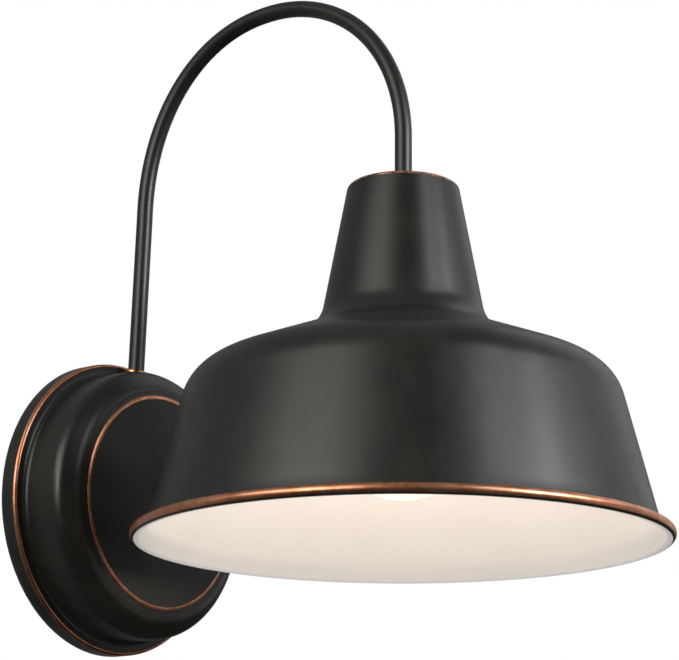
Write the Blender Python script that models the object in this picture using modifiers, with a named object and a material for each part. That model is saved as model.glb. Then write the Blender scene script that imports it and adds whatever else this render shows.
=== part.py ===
"""Outdoor wall lantern with a gooseneck arm, a spun barn shade and a stepped round canopy.

The origin is the centre of the canopy's wall face. The wall is the plane y = 0, the lantern reaches out along
-Y, and +Z is up. The driving dimensions are in millimetres, and mm() turns them into Blender's metres.
"""

import math

import bmesh
import bpy
from mathutils import Matrix

GAP = 0.3  # clearance between pieces that rest on each other
SIDES = 36  # facets round the large turned pieces
SMALL_SIDES = 20  # facets round the small turned pieces

# Canopy: depths are measured out from the wall.
CANOPY_RADIUS = 60.6
FLANGE_DEPTH = 7.7
FILLET = 2.2  # inside the corner between the drum and the flange
DRUM_RADIUS, DRUM_DEPTH = 55.3, 25.1
FACE_RADIUS, FACE_DEPTH = 43.5, 31.3
CANOPY_WALL = 1.2
GASKET_INNER, GASKET_OUTER, GASKET_DEPTH = 54.4, 59.0, 6.2

# Mounting strap, flat against the wall's junction box, with an ear bent forward at each end.
STRAP_HALF, STRAP_WIDTH, STRAP_THICK = 50.0, 16.0, 1.6
EAR_DEPTH, HOOK_DEPTH = 21.0, 9.0
SLOT_CENTRE, SLOT_LENGTH, SLOT_WIDTH = 38.0, 18.0, 4.8
BOX_SCREW_X = 44.45  # half of a 3 1/2 in junction box spacing
GROUND_X = -16.0
LOCK_SCREW_DEPTH = 15.2

# Arm: one tube, up out of the canopy's top, over in two quarter ellipses and straight down into the shade's
# neck. Its points are (y, z) on the tube's centreline.
TUBE_RADIUS, TUBE_BORE = 3.4, 2.5
ARM_BASE = (-12.7, 44.0)
LEG_TOP, BEND_TOP, DROP_TOP = (-14.8, 125.0), (-82.3, 203.65), (-151.8, 133.1)
LEG_POWER = 0.925  # 1 is a plain ellipse; less makes the bend above the leg squarer
ARM_END_Z = 96.6
BEND_CHORDS = 20
TUBE_HOLE = TUBE_RADIUS + 0.35
LEANING_HOLE = TUBE_RADIUS + 0.5  # where the leaning leg passes through upright pieces
COLLAR_Y, COLLAR_Z, COLLAR_TILT = -13.05, 56.8, math.radians(10)

# Shade, turned about the arm's lower end.
SHADE_Y = DROP_TOP[0]
RIM_RADIUS, RIM_Z, BEAD = 101.6, -26.95, 2.05
SHOULDER_RADIUS, SHOULDER_Z, SHOULDER_ROUND = 81.5, 34.8, 18.9
NECK_BASE_RADIUS, NECK_BASE_Z, NECK_BASE_ROUND = 32.3, 54.6, 14.5
NECK_TOP_RADIUS, NECK_TOP_Z, NECK_TOP_ROUND = 21.8, 111.5, 1.6
SHADE_WALL = 0.8

# Lamp holder and bulb, on the shade's axis.
CAP_TOP_Z, CAP_RADIUS, CAP_BOTTOM_Z = 103.1, 18.6, 85.0
BODY_TOP_Z, BODY_BOTTOM_Z, BODY_RADIUS = 90.5, 56.0, 19.2
CAVITY_RADIUS, CAVITY_TOP_Z = 15.2, 86.9
BULB_TIP_Z, BULB_RADIUS = -12.0, 30.0
BULB_WIDEST_Z, BULB_NECK_RADIUS = 26.0, 12.3
BASE_RADIUS, BASE_BOTTOM_Z, BASE_TOP_Z = 13.1, 61.0, 81.0
CONTACT_TOP_Z = 85.3

WIRE_RADIUS, WIRE_OFFSET = 0.95, 1.1
TERMINAL_X = 9.6
NUT_MOUTH_X, NUT_LENGTH = 12.0, 17.0
GROUND_NUT_AT = (5.0, -20.0, 15.0)

BRONZE = ((0.020, 0.019, 0.017), 0.36, 0.85)
COPPER = ((0.55, 0.21, 0.10), 0.30, 1.0)
ZINC = ((0.62, 0.62, 0.60), 0.35, 1.0)
BRASS = ((0.72, 0.50, 0.20), 0.28, 1.0)
FOAM = ((0.03, 0.03, 0.03), 0.90, 0.0)
SILICONE = ((0.55, 0.55, 0.52), 0.70, 0.0)
PORCELAIN = ((0.86, 0.85, 0.80), 0.25, 0.0)
FROSTED = ((0.98, 0.93, 0.84), 0.45, 0.0)
CLEAR = ((0.85, 0.90, 0.90), 0.05, 0.0)
BLACK_GLASS = ((0.01, 0.01, 0.01), 0.10, 0.0)
TUNGSTEN = ((0.35, 0.34, 0.33), 0.40, 1.0)
BLACK_WIRE = ((0.015, 0.015, 0.015), 0.50, 0.0)
WHITE_WIRE = ((0.80, 0.80, 0.78), 0.50, 0.0)
GREEN_WIRE = ((0.03, 0.22, 0.07), 0.50, 0.0)
YELLOW_PLASTIC = ((0.75, 0.50, 0.03), 0.40, 0.0)
GREEN_PLASTIC = ((0.04, 0.30, 0.10), 0.40, 0.0)


def mm(*lengths):
    return tuple(length * 0.001 for length in lengths)


def rounded(corners, chords=4):
    """A polyline through (x, y) or (x, y, radius) corners, each radius drawn as an arc of a few chords."""
    line = [corners[0][:2]]
    for before, corner, after in zip(corners, corners[1:], corners[2:]):
        x, y = corner[:2]
        radius = corner[2] if len(corner) > 2 else 0
        if not radius:
            line.append((x, y))
            continue
        a = math.atan2(before[1] - y, before[0] - x)
        b = math.atan2(after[1] - y, after[0] - x)
        turn = (b - a + math.pi) % (2 * math.pi) - math.pi
        reach, setback = radius / math.sin(abs(turn) / 2), radius / math.tan(abs(turn) / 2)
        cx, cy = x + reach * math.cos(a + turn / 2), y + reach * math.sin(a + turn / 2)
        start = math.atan2(y + setback * math.sin(a) - cy, x + setback * math.cos(a) - cx)
        sweep = math.copysign(math.pi - abs(turn), -turn)
        for step in range(chords + 1):
            angle = start + sweep * step / chords
            line.append((cx + radius * math.cos(angle), cy + radius * math.sin(angle)))
    line.append(corners[-1][:2])
    return line


def material(name, look):
    colour, roughness, metallic = look
    made = bpy.data.materials.new(name)
    made.use_nodes = True
    shader = made.node_tree.nodes["Principled BSDF"]
    shader.inputs["Base Color"].default_value = (*colour, 1)
    shader.inputs["Roughness"].default_value = roughness
    shader.inputs["Metallic"].default_value = metallic
    return made


def place(obj, look, at=(0, 0, 0), tilt=(0, 0, 0), parent=None):
    """Puts a new object in the lantern's collection, with its material, place and parent."""
    PARTS.objects.link(obj)
    obj.data.materials.append(material(obj.name, look))
    obj.location = mm(*at)
    obj.rotation_euler = tilt
    obj.parent = parent
    return obj


def baked(obj, crease=math.radians(35)):
    """Makes the evaluated shape the object's own mesh, welded and smooth shaded between its creases."""
    graph = bpy.context.evaluated_depsgraph_get()
    mesh = bpy.data.meshes.new_from_object(obj.evaluated_get(graph))
    work = bmesh.new()
    work.from_mesh(mesh)
    bmesh.ops.remove_doubles(work, verts=work.verts, dist=1e-6)
    work.to_mesh(mesh)
    work.free()
    mesh.shade_smooth()
    mesh.set_sharp_from_angle(angle=crease)
    solid = bpy.data.objects.new("baking", mesh)
    for collection in obj.users_collection:
        collection.objects.link(solid)
    solid.parent = obj.parent
    solid.location, solid.rotation_euler = obj.location, obj.rotation_euler
    name = obj.name
    bpy.data.objects.remove(obj)
    solid.name = name
    return solid


def turned(name, outline, look, closed=False, wall=0, sides=SMALL_SIDES, **where):
    """An outline of (radius, height) points, down its outer side, turned about the object's Z axis."""
    points = [(*mm(radius), 0, *mm(height)) for radius, height in outline]
    edges = [(i, i + 1) for i in range(len(points) - 1)]
    if closed:
        edges.append((len(points) - 1, 0))
    mesh = bpy.data.meshes.new(name)
    mesh.from_pydata(points, edges, [])
    obj = place(bpy.data.objects.new(name, mesh), look, **where)
    screw = obj.modifiers.new("turn", "SCREW")
    screw.steps = screw.render_steps = sides
    screw.use_merge_vertices = True
    screw.merge_threshold = 1e-5
    if wall:
        solidify = obj.modifiers.new("wall", "SOLIDIFY")
        solidify.thickness = wall * 0.001
        solidify.offset = -1
        solidify.use_even_offset = True
    return baked(obj)


def ring(name, inner, outer, bottom, top, look, edge=0.0, **where):
    """A washer-like ring, with its two outer edges rounded off where edge is given."""
    outline = [(inner, top), (outer, top, edge), (outer, bottom, edge), (inner, bottom)]
    return turned(name, rounded(outline, 2), look, closed=True, **where)


def wire(name, points, radius, look, roundness=2, capped=True):
    """A round wire along a list of (x, y, z) points."""
    curve = bpy.data.curves.new(name, "CURVE")
    curve.dimensions = "3D"
    curve.bevel_depth = radius * 0.001
    curve.bevel_resolution = roundness
    curve.use_fill_caps = capped
    spline = curve.splines.new("POLY")
    spline.points.add(len(points) - 1)
    for knot, point in zip(spline.points, points):
        knot.co = (*mm(*point), 1)
    return place(bpy.data.objects.new(name, curve), look)


def smooth_route(points, per_span):
    """Points along the Catmull-Rom curve through the given points."""
    padded = [points[0], *points, points[-1]]
    route = []
    for p0, p1, p2, p3 in zip(padded, padded[1:], padded[2:], padded[3:]):
        for step in range(per_span):
            t = step / per_span
            route.append(tuple(
                0.5 * (2 * b + (c - a) * t + (2 * a - 5 * b + 4 * c - d) * t**2 + (3 * b - a - 3 * c + d) * t**3)
                for a, b, c, d in zip(p0, p1, p2, p3)
            ))
    return [*route, points[-1]]


def cutter(name, at, radius, depth, tilt=(0, 0, 0)):
    """A hidden cylinder that a Boolean takes away."""
    bpy.ops.mesh.primitive_cylinder_add(
        vertices=24, radius=radius * 0.001, depth=depth * 0.001, location=mm(*at), rotation=tilt
    )
    return hidden(name)


def block_cutter(name, at, size):
    bpy.ops.mesh.primitive_cube_add(size=1, location=mm(*at))
    bpy.context.object.dimensions = mm(*size)
    bpy.ops.object.transform_apply(location=False, rotation=False, scale=True)
    return hidden(name)


def hidden(name):
    obj = bpy.context.object
    obj.name = name
    obj.hide_render = True
    obj.display_type = "WIRE"
    for collection in list(obj.users_collection):
        collection.objects.unlink(obj)
    CUTTERS.objects.link(obj)
    return obj


def cut(obj, tool):
    boolean = obj.modifiers.new(tool.name, "BOOLEAN")
    boolean.operation = "DIFFERENCE"
    boolean.object = tool


def hex_nut(name, across, bottom, top, hole, centre_y, look):
    """A hexagon nut about a vertical axis, with a clearance hole for the arm's tube."""
    outline = [(0, top), (across / math.sqrt(3), top), (across / math.sqrt(3), bottom), (0, bottom)]
    nut = turned(name, outline, look, sides=6, at=(0, centre_y, 0))
    cut(nut, cutter(name + "_hole", (0, centre_y, (bottom + top) / 2), hole, top - bottom + 4))
    return nut


def slotted_screw(name, head, shank, head_height, length, look, **where):
    """A pan-head screw along its own Z axis, with its head's underside at the origin and a driver slot."""
    outline = [
        (0, head_height), (head, head_height, head_height * 0.6), (head, 0), (shank, 0),
        (shank, -length), (0, -length),
    ]
    screw = turned(name, rounded(outline, 3), look, sides=16, **where)
    bpy.context.view_layer.update()
    slot = block_cutter(name + "_slot", (0, 0, head_height), (head * 3, 0.9, head_height * 0.7))
    slot.matrix_world = screw.matrix_world @ Matrix.Translation(mm(0, 0, head_height))
    cut(screw, slot)
    return screw


def arm_route(offset=0.0, base_z=ARM_BASE[1], end_z=ARM_END_Z):
    """The arm's centreline, moved sideways by offset: a leaning leg, a rounded bend and a straight drop."""
    lean = (LEG_TOP[0] - ARM_BASE[0]) / (LEG_TOP[1] - ARM_BASE[1])
    leg = [(offset, ARM_BASE[0] + lean * (z - ARM_BASE[1]), z) for z in (base_z, 72.0, 100.0, 118.0)]
    bend = []
    for step in range(BEND_CHORDS + 1):
        angle = math.pi * step / BEND_CHORDS
        (side_y, side_z), power = (LEG_TOP, LEG_POWER) if angle < math.pi / 2 else (DROP_TOP, 1)
        y = BEND_TOP[0] + (side_y - BEND_TOP[0]) * abs(math.cos(angle)) ** power
        bend.append((offset, y, side_z + (BEND_TOP[1] - side_z) * math.sin(angle) ** power))
    return [*leg, *bend, (offset, SHADE_Y, 114.0), (offset, SHADE_Y, end_z)]


def canopy_outline():
    """The canopy's outer side as (radius, depth): face, rounded shoulder, drum, fillet and flange."""
    return rounded([
        (0, FACE_DEPTH),
        (FACE_RADIUS, FACE_DEPTH),
        (FACE_RADIUS + 4.8, FACE_DEPTH - 0.64, 8.0),
        (DRUM_RADIUS, DRUM_DEPTH, 6.0),
        (DRUM_RADIUS, FLANGE_DEPTH, FILLET),
        (CANOPY_RADIUS, FLANGE_DEPTH, 1.6),
        (CANOPY_RADIUS, 0),
    ], 3)


def shade_outline():
    """The shade's outer side as (radius, height) from the tube's hole down to the bead."""
    flare = (RIM_RADIUS - 5.2, RIM_Z + 2.5)
    bead_centre = (RIM_RADIUS - BEAD, RIM_Z)
    top_of_bead = [
        (bead_centre[0] + BEAD * math.cos(a), bead_centre[1] + BEAD * math.sin(a))
        for a in (math.radians(angle) for angle in (100, 45, 0, -45, -100))
    ]
    return rounded([
        (TUBE_HOLE, NECK_TOP_Z),
        (NECK_TOP_RADIUS, NECK_TOP_Z, NECK_TOP_ROUND),
        (NECK_BASE_RADIUS, NECK_BASE_Z, NECK_BASE_ROUND),
        (SHOULDER_RADIUS, SHOULDER_Z, SHOULDER_ROUND),
        flare,
        *top_of_bead,
        (flare[0] + 1.1, flare[1] - 3.2),
    ], 3)


def make_canopy():
    facing_out = (math.pi / 2, 0, 0)
    canopy = turned(
        "canopy", canopy_outline(), BRONZE, wall=CANOPY_WALL, sides=SIDES, tilt=facing_out
    )
    cut(canopy, cutter("arm_hole", (0, COLLAR_Y, DRUM_RADIUS), 3.8, 14))
    lock_hole = (DRUM_RADIUS, -LOCK_SCREW_DEPTH, 0)
    cut(canopy, cutter("lock_hole", lock_hole, 2.4, 8, (0, math.pi / 2, 0)))
    outline = [
        (GASKET_INNER, GASKET_DEPTH), (GASKET_OUTER, GASKET_DEPTH), (GASKET_OUTER, 0), (GASKET_INNER, 0),
    ]
    turned("wall_gasket", outline, FOAM, closed=True, sides=SIDES, tilt=facing_out)


def make_strap():
    """The strap is a bent-bar outline in plan, extruded to its width, with two slots and three holes."""
    half, thick = STRAP_HALF, STRAP_THICK
    outline = [
        (-half, 0), (half, 0), (half, -EAR_DEPTH), (half - thick, -EAR_DEPTH), (half - thick, -thick),
        (-half + thick, -thick), (-half + thick, -HOOK_DEPTH), (-half, -HOOK_DEPTH),
    ]
    curve = bpy.data.curves.new("mounting_strap", "CURVE")
    curve.dimensions = "2D"
    curve.fill_mode = "BOTH"
    curve.extrude = STRAP_WIDTH / 2 * 0.001
    spline = curve.splines.new("POLY")
    spline.points.add(len(outline) - 1)
    for knot, point in zip(spline.points, outline):
        knot.co = (*mm(*point), 0, 1)
    spline.use_cyclic_u = True
    strap = baked(place(bpy.data.objects.new("mounting_strap", curve), ZINC))
    facing_out = (math.pi / 2, 0, 0)
    cut(strap, cutter("nipple_hole", (0, 0, 0), 5.2, 8, facing_out))
    cut(strap, cutter("ear_hole", (half, -LOCK_SCREW_DEPTH, 0), 2.3, 8, (0, math.pi / 2, 0)))
    cut(strap, cutter("ground_hole", (GROUND_X, 0, 0), 2.0, 8, facing_out))
    for side in (-1, 1):
        slot_at = (side * SLOT_CENTRE, 0, 0)
        cut(strap, block_cutter("box_slot", slot_at, (SLOT_LENGTH, 8, SLOT_WIDTH)))


def make_canopy_fasteners():
    facing_out = (math.pi / 2, 0, 0)
    head_at = -(STRAP_THICK + GAP)
    for side, name in ((-1, "box_screw_left"), (1, "box_screw_right")):
        slotted_screw(
            name, 3.6, 2.0, 2.4, STRAP_THICK + GAP, ZINC, at=(side * BOX_SCREW_X, head_at, 0), tilt=facing_out
        )
    ground_at = (GROUND_X, head_at - 2 * WIRE_RADIUS - GAP, 0)
    slotted_screw("ground_screw", 3.4, 1.7, 2.0, 3.6, GREEN_WIRE, at=ground_at, tilt=facing_out)
    lock_at = (DRUM_RADIUS + 0.7, -LOCK_SCREW_DEPTH, 0)
    slotted_screw(
        "canopy_lock_screw", 3.6, 1.95, 2.2, 9.5, BRONZE, at=lock_at, tilt=(0, math.pi / 2, 0)
    )


def make_arm():
    tube = wire("arm_tube", arm_route(), TUBE_RADIUS, BRONZE, roundness=3, capped=False)
    tube = baked(tube)
    solidify = tube.modifiers.new("wall", "SOLIDIFY")
    solidify.thickness = (TUBE_RADIUS - TUBE_BORE) * 0.001
    solidify.offset = -1
    bead = [(3.85, 1.5), (4.7, 1.5, 0.7), (4.7, 0, 0.2), (3.85, 0)]
    turned(
        "arm_collar", rounded(bead, 3), COPPER, closed=True, at=(0, COLLAR_Y, COLLAR_Z),
        tilt=(COLLAR_TILT, 0, 0),
    )
    ring("arm_washer", LEANING_HOLE, 7.0, 52.0, 53.2, ZINC, at=(0, -12.95, 0))
    hex_nut("arm_nut", 10.5, 47.6, 51.7, LEANING_HOLE, -12.85, ZINC)


def make_shade():
    turned(
        "shade", shade_outline(), BRONZE, wall=SHADE_WALL, sides=SIDES, at=(0, SHADE_Y, 0)
    )
    top = NECK_TOP_Z - SHADE_WALL - GAP
    at = (0, SHADE_Y, 0)
    ring("neck_seal", TUBE_HOLE, 9.0, top - 1.4, top, SILICONE, edge=0.4, at=at)
    ring("neck_washer", TUBE_HOLE, 9.6, top - 2.9, top - 1.7, ZINC, at=at)
    hex_nut("neck_nut", 11.0, top - 6.9, top - 3.2, TUBE_HOLE, SHADE_Y, ZINC)


def make_socket():
    """Steel cap, porcelain body, brass screw shell and centre contact, hung on the tube's lower end."""
    at = (0, SHADE_Y, 0)
    cap = [(TUBE_HOLE, CAP_TOP_Z), (CAP_RADIUS, CAP_TOP_Z, 2.5), (CAP_RADIUS, CAP_BOTTOM_Z)]
    turned("socket_cap", rounded(cap, 2), ZINC, wall=0.8, sides=24, at=at)
    hex_nut("socket_nut", 10.0, CAP_TOP_Z - 5.2, CAP_TOP_Z - 1.2, TUBE_HOLE, SHADE_Y, ZINC)
    shoulder = CAP_BOTTOM_Z - GAP
    waist = CAP_RADIUS - 0.8 - GAP
    body = [
        (0, BODY_TOP_Z), (waist, BODY_TOP_Z, 1.0), (waist, shoulder), (BODY_RADIUS, shoulder, 0.8),
        (BODY_RADIUS, BODY_BOTTOM_Z, 1.2), (CAVITY_RADIUS, BODY_BOTTOM_Z), (CAVITY_RADIUS, CAVITY_TOP_Z),
        (0, CAVITY_TOP_Z),
    ]
    turned("socket_body", rounded(body, 2), PORCELAIN, sides=24, at=at)
    shell = [(14.4, 83.0), (14.4, 59.0), (13.9, 59.0), (13.9, 83.0)]
    turned("socket_shell", shell, BRASS, closed=True, sides=24, at=at)
    contact = [(0, 86.6), (4.5, 86.6), (4.5, CONTACT_TOP_Z + GAP), (0, CONTACT_TOP_Z + GAP)]
    turned("socket_contact", contact, BRASS, at=at)
    for side, name in ((-1, "line_terminal_screw"), (1, "neutral_terminal_screw")):
        head = [(0, 2.0), (2.7, 2.0, 0.8), (2.7, 0), (0, 0)]
        screw_at = (side * TERMINAL_X, SHADE_Y, BODY_TOP_Z + GAP)
        screw = turned(name, rounded(head, 2), BRASS, sides=16, at=screw_at)
        slot_at = (side * TERMINAL_X, SHADE_Y, BODY_TOP_Z + GAP + 2.0)
        cut(screw, block_cutter(name + "_slot", slot_at, (8, 0.9, 1.4)))


def make_wiring():
    """Two insulated leads through the arm, a ground lead, and the connectors that join them to the house."""
    for side, name, look in ((-1, "line", BLACK_WIRE), (1, "neutral", WHITE_WIRE)):
        through = arm_route(side * WIRE_OFFSET, base_z=42.0, end_z=96.0)
        mouth = side * NUT_MOUTH_X
        inside = smooth_route([
            (mouth + side * 5, -14.0, 26.0), (mouth + side * 0.5, -14.0, 26.2), (side * 6.4, -13.6, 28.6),
            (side * 2.6, -13.0, 34.0), (side * 1.2, -12.7, 39.5), (side * WIRE_OFFSET, -12.65, 41.5),
        ], 3)
        tail = [
            (side * 1.4, SHADE_Y, 95.0), (side * 2.2, SHADE_Y, 93.8), (side * 3.6, SHADE_Y, 92.8),
            (side * 5.0, SHADE_Y, 92.2), (side * 6.4, SHADE_Y, 92.0),
        ]
        wire(name + "_wire", [*inside, *through, *tail], WIRE_RADIUS, look)
        wire_nut(name + "_wire_nut", (mouth, -14.0, 26.0), side, YELLOW_PLASTIC)
    x, y, z = GROUND_NUT_AT
    screw_y = -(STRAP_THICK + GAP) - WIRE_RADIUS
    ground = smooth_route([
        (GROUND_X + 3.2, screw_y, -0.6), (GROUND_X + 5.4, screw_y - 0.6, 2.2), (-9.0, -7.5, 9.6),
        (-4.5, -16.0, 14.4), (x, y, z), (x + 6, y, z),
    ], 4)
    wire("ground_wire", ground, WIRE_RADIUS, GREEN_WIRE)
    wire_nut("ground_wire_nut", GROUND_NUT_AT, 1, GREEN_PLASTIC)


def wire_nut(name, mouth, side, look):
    """A cone-shaped twist connector, open at its mouth, along +X or -X."""
    outline = [
        (0, NUT_LENGTH), (3.0, NUT_LENGTH, 1.0), (4.3, 5.5), (5.0, 4.5), (5.0, 0), (2.9, 0),
        (2.9, 9.0), (0, 11.0),
    ]
    turned(name, rounded(outline, 3), look, sides=16, at=mouth, tilt=(0, side * math.pi / 2, 0))


def make_bulb():
    """The bulb hangs in its own frame, an empty at its contact on the shade's axis."""
    pivot = bpy.data.objects.new("bulb_pivot", None)
    PARTS.objects.link(pivot)
    pivot.location = mm(0, SHADE_Y, CONTACT_TOP_Z)
    pivot.empty_display_size = 0.02
    bpy.context.view_layer.update()
    drop = {"at": (0, 0, -CONTACT_TOP_Z), "parent": pivot}
    glass = [
        (BULB_NECK_RADIUS, 68.0), (BULB_NECK_RADIUS, 55.0, 16.0), (BULB_RADIUS, BULB_WIDEST_Z, 18.0),
        (BULB_RADIUS, BULB_TIP_Z, BULB_RADIUS), (0, BULB_TIP_Z),
    ]
    turned("bulb_glass", rounded(glass, 4), FROSTED, wall=1.0, sides=24, **drop)
    stem = [(0, 66.0), (10.6, 66.0), (3.2, 57.0, 6.0), (2.4, 34.0), (0, 34.0)]
    turned("bulb_stem", rounded(stem, 3), CLEAR, sides=12, **drop)
    base = [
        (5.3, BASE_TOP_Z + 1.6), (9.5, BASE_TOP_Z), (BASE_RADIUS, 78.5), (BASE_RADIUS, BASE_BOTTOM_Z),
    ]
    turned("bulb_base", base, BRASS, wall=0.45, sides=24, **drop)
    insulator = [(0, 83.5), (4.8, 83.5), (4.8, 80.0), (0, 80.0)]
    turned("bulb_insulator", insulator, BLACK_GLASS, **drop)
    tip = [(0, CONTACT_TOP_Z), (4.4, CONTACT_TOP_Z, 1.0), (4.4, 83.8), (0, 83.8)]
    turned("bulb_contact", rounded(tip, 3), BRASS, **drop)
    filament = smooth_route([
        (-2.0, SHADE_Y, 33.5), (-6.0, SHADE_Y, 28.0), (-13.0, SHADE_Y, 22.0), (-7.0, SHADE_Y - 1.5, 20.5),
        (0, SHADE_Y, 21.5), (7.0, SHADE_Y + 1.5, 20.5), (13.0, SHADE_Y, 22.0), (6.0, SHADE_Y, 28.0),
        (2.0, SHADE_Y, 33.5),
    ], 3)
    lamp = wire("bulb_filament", filament, 0.45, TUNGSTEN)
    lamp.parent = pivot
    lamp.matrix_parent_inverse = pivot.matrix_world.inverted()


for existing in list(bpy.data.objects):
    bpy.data.objects.remove(existing)
PARTS = bpy.data.collections.new("wall_lantern")
CUTTERS = bpy.data.collections.new("cutters")
for group in (PARTS, CUTTERS):
    bpy.context.scene.collection.children.link(group)
make_canopy()
make_strap()
make_canopy_fasteners()
make_arm()
make_shade()
make_socket()
make_wiring()
make_bulb()
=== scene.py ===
"""The looks of an outdoor wall lantern.

It is oil-rubbed bronze, with copper showing along its edges, and a shade enamelled white inside, with a lit
bulb in it. The fittings behind the canopy and inside the neck are drawn too.

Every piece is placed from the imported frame. Section outlines are in millimetres, as on a drawing, and the
helpers turn them into metres.
"""

import math

import bmesh
import bpy
import numpy as np
from mathutils import Matrix, Vector


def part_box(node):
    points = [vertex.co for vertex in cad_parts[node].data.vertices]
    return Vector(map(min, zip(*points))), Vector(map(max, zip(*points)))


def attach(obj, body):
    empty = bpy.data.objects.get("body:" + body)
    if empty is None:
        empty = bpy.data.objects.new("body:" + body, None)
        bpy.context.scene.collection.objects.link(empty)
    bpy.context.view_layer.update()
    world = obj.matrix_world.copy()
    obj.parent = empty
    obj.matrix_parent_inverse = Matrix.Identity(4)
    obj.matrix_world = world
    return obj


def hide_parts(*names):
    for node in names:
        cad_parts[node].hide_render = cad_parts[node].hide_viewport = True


MM = 0.001
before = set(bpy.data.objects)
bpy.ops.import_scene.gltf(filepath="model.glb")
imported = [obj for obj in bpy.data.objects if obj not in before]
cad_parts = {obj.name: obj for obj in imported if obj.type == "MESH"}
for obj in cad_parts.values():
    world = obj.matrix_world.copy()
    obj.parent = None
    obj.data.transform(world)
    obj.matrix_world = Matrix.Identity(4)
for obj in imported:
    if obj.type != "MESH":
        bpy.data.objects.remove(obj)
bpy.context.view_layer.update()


# ---------------------------------------------------------------- places, read from the frame


def middle(node):
    """The middle of a node's box. This and the helpers after it work in millimetres."""
    start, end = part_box(node)
    return tuple((a + b) / 2 / MM for a, b in zip(start, end))


def size(node):
    start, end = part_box(node)
    return tuple((b - a) / MM for a, b in zip(start, end))


def low(node, axis):
    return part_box(node)[0][axis] / MM


def high(node, axis):
    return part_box(node)[1][axis] / MM


def span(node):
    """The heights of a node's top and bottom."""
    return high(node, 2), low(node, 2)


SHADE_Y = middle("bulb_glass")[1]
RIM_RADIUS = size("shade")[0] / 2
RIM_BOTTOM = low("shade", 2)
NECK_TOP = high("shade", 2)
CANOPY_RADIUS = size("canopy")[0] / 2
FACE_DEPTH = -low("canopy", 1)
TUBE_RADIUS = size("arm_tube")[0] / 2
ARM_TOP = high("arm_tube", 2) - TUBE_RADIUS
FACING_OUT = Matrix.Rotation(math.pi / 2, 4, "X")  # a turned piece's +Z becomes -Y, away from the wall
FACING_RIGHT = Matrix.Rotation(math.pi / 2, 4, "Y")

SHADE_WALL = 0.8
CANOPY_WALL = 1.2
BEAD = 2.05  # the radius of the rim's rolled bead
DRUM_RADIUS = 55.3
DRUM_BASE = FACE_DEPTH - 23.6  # how far the canopy's flange stands out
TUBE_HOLE = 3.75  # the radius of what fits round the arm
NUT_BORE = 3.55
LEAD_RADIUS = 0.95
LEAD_OFFSET = 1.1  # how far each lead runs from the arm's centreline
BASE_PITCH = 3.63  # of the bulb's screw base
ARM_FOOT, ARM_END = 44.0, 96.6  # the heights where the arm starts in the canopy and ends in the neck
CUT_REACH = 4  # how far a tool stands out on both sides of what it cuts

ROUND = 144  # facets round the large turned pieces
SHADE_ROUND = 192
SOCKET_ROUND = 96
SMALL_ROUND = 48

BULB_GLOW = 0.62  # the emission of the lit glass
BULB_LIGHT = 0.101  # the watts of the light inside it
BULB_LIGHT_RADIUS = 28
ROOM_LIGHT = 0.24
FLOOR_LIGHT = 0.9
FLOOR_TOP, FLOOR_WIDTH, FLOOR_THICKNESS = -2000, 16000, 10
WASH_SIZE, WASH_HEIGHT = 6, -1200  # the floor's own light, a square of so many metres
LIGHT_DISTANCE = 1.4  # metres
LIGHT_TARGET = (0, -120, 30)
WARM, NEUTRAL, COOL = (1.0, 0.985, 0.93), (1.0, 0.99, 0.97), (0.955, 0.975, 1.0)


# ---------------------------------------------------------------- mesh helpers


def rounded(corners, chords=8):
    """A polyline through corners, each (x, y), (x, y, radius) or (x, y, radius, wear).

    Each radius is drawn as an arc. It gives (x, y, wear) points.
    """
    corners = [(*corner, 0, 0)[:4] for corner in corners]
    line = [(corners[0][0], corners[0][1], corners[0][3])]
    for before, (x, y, radius, wear), after in zip(corners, corners[1:], corners[2:]):
        if not radius:
            line.append((x, y, wear))
            continue
        a = math.atan2(before[1] - y, before[0] - x)
        b = math.atan2(after[1] - y, after[0] - x)
        turn = (b - a + math.pi) % (2 * math.pi) - math.pi
        reach, setback = radius / math.sin(abs(turn) / 2), radius / math.tan(abs(turn) / 2)
        cx, cy = x + reach * math.cos(a + turn / 2), y + reach * math.sin(a + turn / 2)
        start = math.atan2(y + setback * math.sin(a) - cy, x + setback * math.cos(a) - cx)
        sweep = math.copysign(math.pi - abs(turn), -turn)
        for step in range(chords + 1):
            angle = start + sweep * step / chords
            line.append((cx + radius * math.cos(angle), cy + radius * math.sin(angle), wear))
    line.append((corners[-1][0], corners[-1][1], corners[-1][3]))
    return line


def rounded_loop(corners, chords):
    """The same for a closed outline. Its first corner is sharp."""
    return rounded([*corners, corners[0][:2]], chords)[:-1]


def dense(outline, longest):
    """The same outline with its long stretches divided."""
    line = [outline[0]]
    for a, b in zip(outline, outline[1:]):
        parts = max(1, math.ceil(math.dist(a[:2], b[:2]) / longest))
        line += [tuple(p + (q - p) * k / parts for p, q in zip(a, b)) for k in range(1, parts + 1)]
    return line


def inset(outline, wall):
    """The outline moved inward by a wall's thickness, running back from its end to its start."""
    points = np.array([p[:2] for p in outline])
    along = np.gradient(points, axis=0)
    along /= np.linalg.norm(along, axis=1)[:, None]
    inner = points + wall * np.stack([along[:, 1], -along[:, 0]], axis=1)
    return [(x, y, 0.0) for x, y in inner[::-1]]


def with_normals(mesh, crease):
    """Smooth shading, except across edges that turn by more than crease degrees."""
    mesh.shade_smooth()
    mesh.set_sharp_from_angle(angle=math.radians(crease))


def new_work():
    """An empty mesh to build, with the attribute that the bronze reads."""
    work = bmesh.new()
    return work, work.verts.layers.float.new("wear")


def finished(work, name):
    mesh = bpy.data.meshes.new(name)
    work.to_mesh(mesh)
    work.free()
    return mesh


def linked(name, data):
    obj = bpy.data.objects.new(name, data)
    bpy.context.scene.collection.objects.link(obj)
    return obj


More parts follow.
